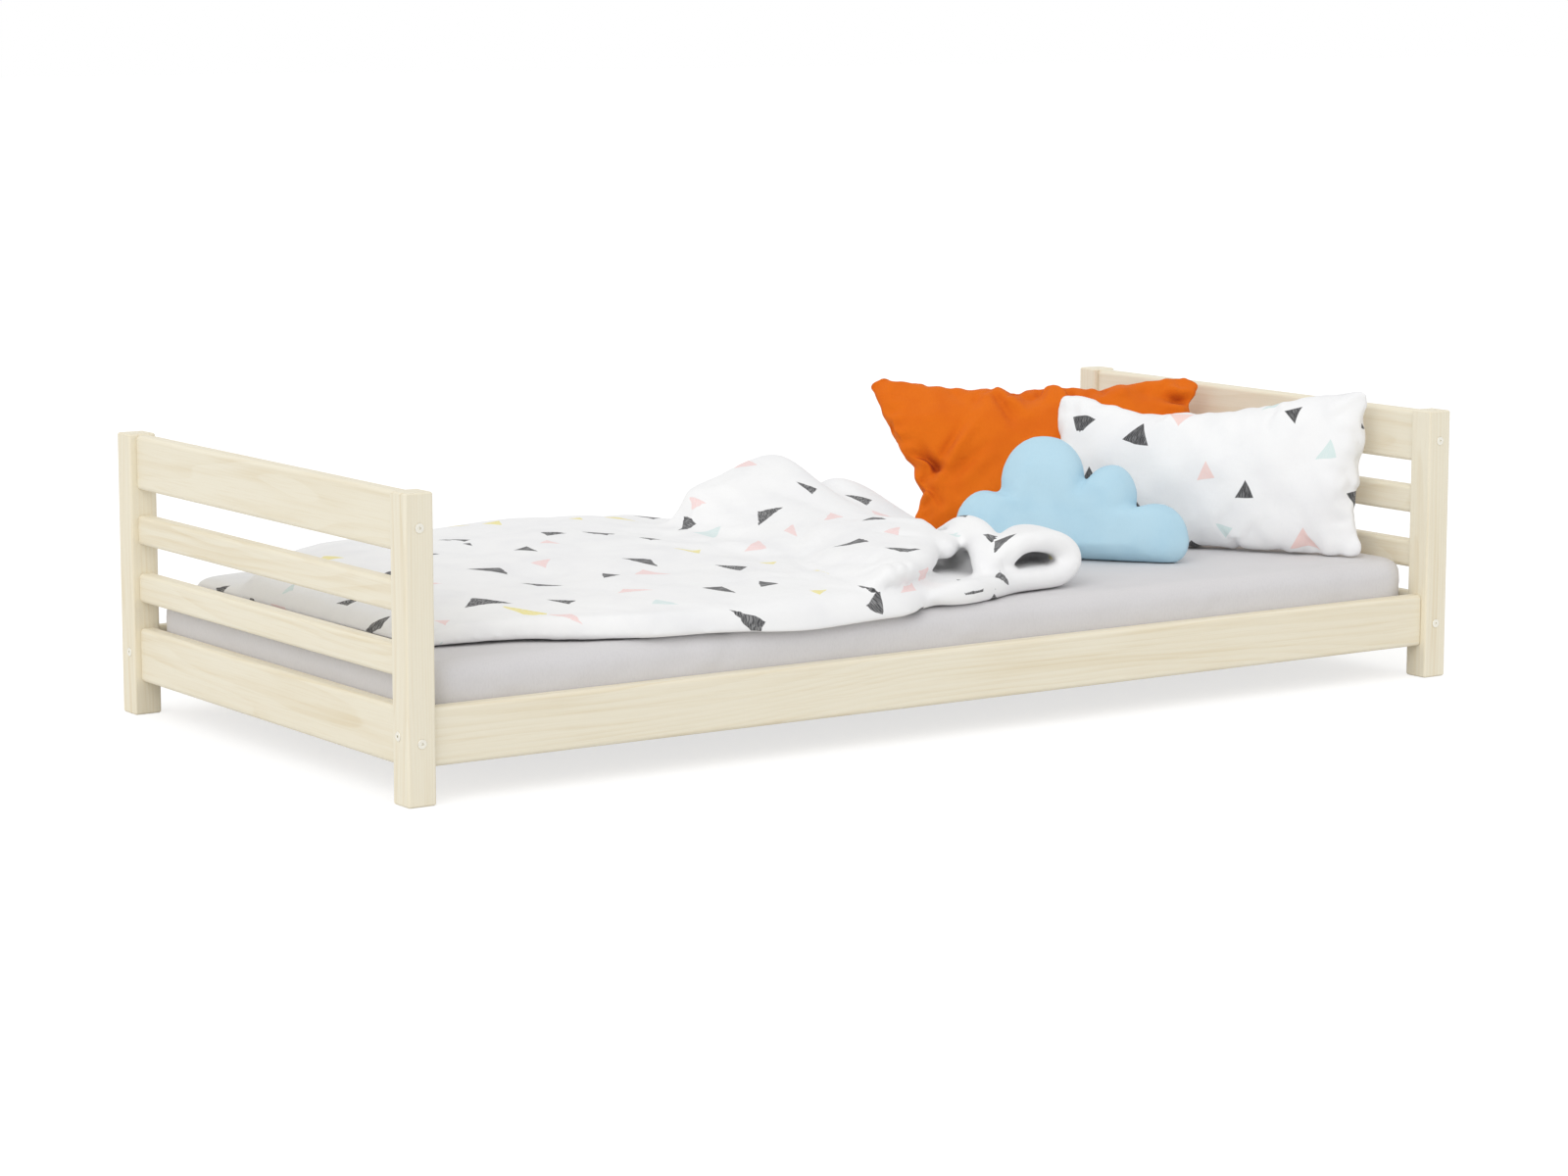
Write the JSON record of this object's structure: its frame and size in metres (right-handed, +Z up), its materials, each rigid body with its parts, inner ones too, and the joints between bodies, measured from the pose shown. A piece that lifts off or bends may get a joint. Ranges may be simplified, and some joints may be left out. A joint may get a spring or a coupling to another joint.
{
  "type": "toddler floor bed",
  "caption": "Low toddler bed: square posts, rounded pale boards and a slatted base, with a mattress in a fitted sheet, a crumpled duvet, pillows and a cloud-shaped cushion.",
  "frame": {"origin": "on the floor under the middle of the bed", "axes": "+X from the foot end to the head end, +Y from the side in front to the far side, +Z up"},
  "size_m": [2.086, 0.986, 0.4733],
  "materials": {
    "frame_wood": "planed spruce with a clear matt coat",
    "slat_wood": "planed spruce, uncoated",
    "dowel_wood": "fluted beech",
    "bolt_metal": "pale zinc plate, satin",
    "hidden_steel": "zinc plate",
    "webbing": "woven polyester tape",
    "mattress_cover": "quilted cotton cover on foam",
    "sheet_jersey": "warm grey cotton jersey",
    "duvet_cotton": "white cotton with scattered small triangles",
    "print_cotton": "white cotton with scattered small triangles",
    "orange_cotton": "orange crinkled cotton",
    "cloud_cotton": "pale blue cotton"
  },
  "bodies": {
    "bed_frame": {"base_slat_01": "slat_wood", "base_slat_02": "slat_wood", "base_slat_03": "slat_wood", "base_slat_04": "slat_wood", "base_slat_05": "slat_wood", "base_slat_06": "slat_wood", "base_slat_07": "slat_wood", "base_slat_08": "slat_wood", "base_slat_09": "slat_wood", "base_slat_10": "slat_wood", "base_slat_11": "slat_wood", "base_slat_12": "slat_wood", "base_slat_13": "slat_wood", "base_slat_14": "slat_wood", "base_slat_15": "slat_wood", "base_slat_16": "slat_wood", "end_board_bolts": "bolt_metal", "end_board_dowels": "dowel_wood", "end_rail_nuts": "hidden_steel", "foot_lower_board": "frame_wood", "foot_rail": "frame_wood", "foot_top_board": "frame_wood", "foot_upper_board": "frame_wood", "head_lower_board": "frame_wood", "head_rail": "frame_wood", "head_top_board": "frame_wood", "head_upper_board": "frame_wood", "ledger_far": "slat_wood", "ledger_near": "slat_wood", "ledger_screws": "hidden_steel", "post_foot_far": "frame_wood", "post_foot_near": "frame_wood", "post_head_far": "frame_wood", "post_head_near": "frame_wood", "side_rail_bolts": "bolt_metal", "side_rail_dowels": "dowel_wood", "side_rail_far": "frame_wood", "side_rail_near": "frame_wood", "side_rail_nuts": "hidden_steel", "slat_screws": "hidden_steel", "slat_tape_far": "webbing", "slat_tape_near": "webbing", "tape_staples": "hidden_steel", "top_board_nuts": "hidden_steel"},
    "mattress": {"mattress_core": "mattress_cover", "fitted_sheet": "sheet_jersey"},
    "duvet": {"duvet": "duvet_cotton"},
    "print_pillow": {"print_pillow": "print_cotton"},
    "orange_pillow": {"orange_pillow": "orange_cotton"},
    "cloud_cushion": {"cloud_cushion": "cloud_cotton"}
  },
  "joints": [
    {"name": "mattress_lift", "type": "slide", "parent": "bed_frame", "child": "mattress", "axis": [0, 0, 1], "range_m": [0, 0.4]},
    {"name": "duvet_lift", "type": "slide", "parent": "mattress", "child": "duvet", "axis": [0, 0, 1], "range_m": [0, 0.3]},
    {"name": "print_pillow_lift", "type": "slide", "parent": "mattress", "child": "print_pillow", "axis": [0, 0, 1], "range_m": [0, 0.3]},
    {"name": "orange_pillow_lift", "type": "slide", "parent": "mattress", "child": "orange_pillow", "axis": [0.3338, 0.4303, 0.8387], "range_m": [0, 0.3]},
    {"name": "cloud_lift", "type": "slide", "parent": "mattress", "child": "cloud_cushion", "axis": [0, 0, 1], "range_m": [0, 0.3]}
  ]
}
